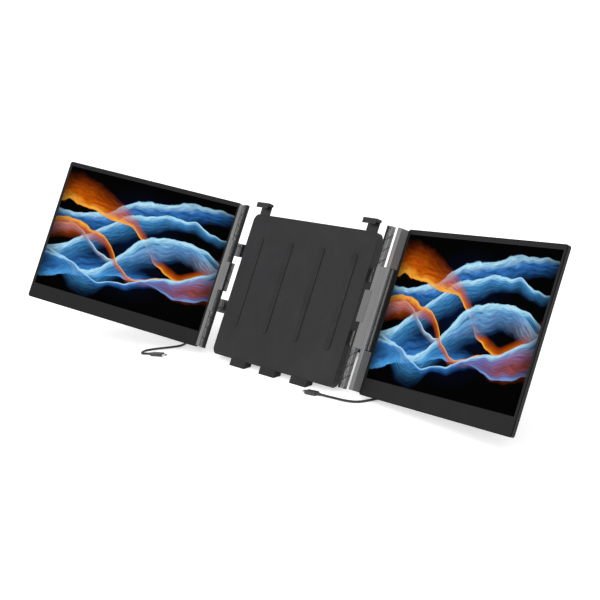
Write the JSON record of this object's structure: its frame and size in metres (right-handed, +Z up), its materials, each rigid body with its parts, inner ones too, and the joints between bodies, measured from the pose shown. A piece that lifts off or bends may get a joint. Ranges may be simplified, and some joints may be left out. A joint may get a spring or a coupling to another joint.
{
  "type": "laptop screen extender",
  "caption": "Laptop screen extender: a leaning back frame with top hooks, sliding side clips, kickstand and a hinged monitor with cable on each side.",
  "frame": {"origin": "on the desk under the middle of the frame's bottom edge, in the plane of the lid's front face at the monitors' bottom edge", "axes": "+X to the viewer's right along the row of screens, +Y to the rear, +Z up"},
  "size_m": [1.0867, 0.297, 0.3041],
  "materials": {
    "plate": "dark anodised, satin",
    "shell": "fine black texture",
    "soft_pad": "soft black",
    "guide": "natural acetal",
    "screw": "small dark screws",
    "pin": "ground",
    "stand_metal": "dark satin",
    "hook_metal": "grey satin",
    "strip_metal": "grey, bead-blasted",
    "rail_metal": "brushed",
    "hinge_metal": "grey satin",
    "casing": "black, fine texture",
    "bezel": "dark grey, satin",
    "screen": "glossy panel with a lit abstract picture",
    "circuit_board": "solder resist",
    "port_metal": "plated",
    "speaker": "matt",
    "button": "satin",
    "cable": "matt jacket",
    "plug": "moulded",
    "plug_grey": "grey moulded body"
  },
  "bodies": {
    "frame": {"front_plate": "plate", "rear_shell": "shell", "lid_pads": "soft_pad", "rail_guides": "guide", "frame_feet": "soft_pad", "frame_screws": "screw", "stand_pin": "pin"},
    "stand": {"stand_leg": "stand_metal", "stand_foot": "soft_pad"},
    "left_hook": {"left_hook": "hook_metal", "left_hook_pad": "soft_pad"},
    "left_side": {"left_strip": "strip_metal", "left_rails": "rail_metal", "left_knuckle": "hinge_metal", "left_hinge_pins": "pin", "left_clip_pad": "soft_pad", "left_strip_screws": "screw"},
    "left_monitor": {"left_spine": "casing", "left_posts": "hinge_metal", "left_bezel": "bezel", "left_screen": "screen", "left_back_cover": "casing", "left_board": "circuit_board", "left_ports": "port_metal", "left_speakers": "speaker", "left_case_screws": "screw", "left_cable": "cable", "left_monitor_plug": "plug", "left_laptop_plug": "plug_grey"},
    "left_power": {"left_power_button": "button"},
    "left_menu": {"left_menu_rocker": "button"},
    "right_hook": {"right_hook": "hook_metal", "right_hook_pad": "soft_pad"},
    "right_side": {"right_strip": "strip_metal", "right_rails": "rail_metal", "right_knuckle": "hinge_metal", "right_hinge_pins": "pin", "right_clip_pad": "soft_pad", "right_strip_screws": "screw"},
    "right_monitor": {"right_spine": "casing", "right_posts": "hinge_metal", "right_bezel": "bezel", "right_screen": "screen", "right_back_cover": "casing", "right_board": "circuit_board", "right_ports": "port_metal", "right_speakers": "speaker", "right_case_screws": "screw", "right_cable": "cable", "right_monitor_plug": "plug", "right_laptop_plug": "plug_grey"},
    "right_power": {"right_power_button": "button"},
    "right_menu": {"right_menu_rocker": "button"}
  },
  "joints": [
    {"name": "stand_hinge", "type": "hinge", "parent": "frame", "child": "stand", "pos_m": [0, 0.09116, 0.13507], "axis": [1, 0, 0], "range_deg": [-57.4, 20]},
    {"name": "left_hook_slide", "type": "slide", "parent": "frame", "child": "left_hook", "axis": [0, 0.4879, 0.8729], "range_m": [-0.008, 0.02]},
    {"name": "left_slide", "type": "slide", "parent": "frame", "child": "left_side", "axis": [-1, 0, 0], "range_m": [-0.011, 0.025]},
    {"name": "left_turn", "type": "hinge", "parent": "left_side", "child": "left_monitor", "pos_m": [-0.1939, 0.06137, 0.12194], "axis": [0, 0.4879, 0.8729], "range_deg": [-25.7, 154.3]},
    {"name": "left_power_press", "type": "slide", "parent": "left_monitor", "child": "left_power", "axis": [0.4337, -0.7866, 0.4396], "range_m": [0, 0.0005], "stiffness_N_per_m": 1500, "springref_m": -0.0005},
    {"name": "left_menu_rock", "type": "hinge", "parent": "left_monitor", "child": "left_menu", "pos_m": [-0.47181, -0.10236, 0.08743], "axis": [0, 0.4879, 0.8729], "range_deg": [-3, 3], "stiffness_Nm_per_rad": 0.1},
    {"name": "right_hook_slide", "type": "slide", "parent": "frame", "child": "right_hook", "axis": [0, 0.4879, 0.8729], "range_m": [-0.008, 0.02]},
    {"name": "right_slide", "type": "slide", "parent": "frame", "child": "right_side", "axis": [1, 0, 0], "range_m": [-0.011, 0.025]},
    {"name": "right_turn", "type": "hinge", "parent": "right_side", "child": "right_monitor", "pos_m": [0.2073, 0.06137, 0.12194], "axis": [0, -0.4879, -0.8729], "range_deg": [-8.2, 171.8]},
    {"name": "right_power_press", "type": "slide", "parent": "right_monitor", "child": "right_power", "axis": [-0.1426, -0.864, 0.4829], "range_m": [0, 0.0005], "stiffness_N_per_m": 1500, "springref_m": -0.0005},
    {"name": "right_menu_rock", "type": "hinge", "parent": "right_monitor", "child": "right_menu", "pos_m": [0.51153, -0.01663, 0.03952], "axis": [0, 0.4879, 0.8729], "range_deg": [-3, 3], "stiffness_Nm_per_rad": 0.1}
  ]
}
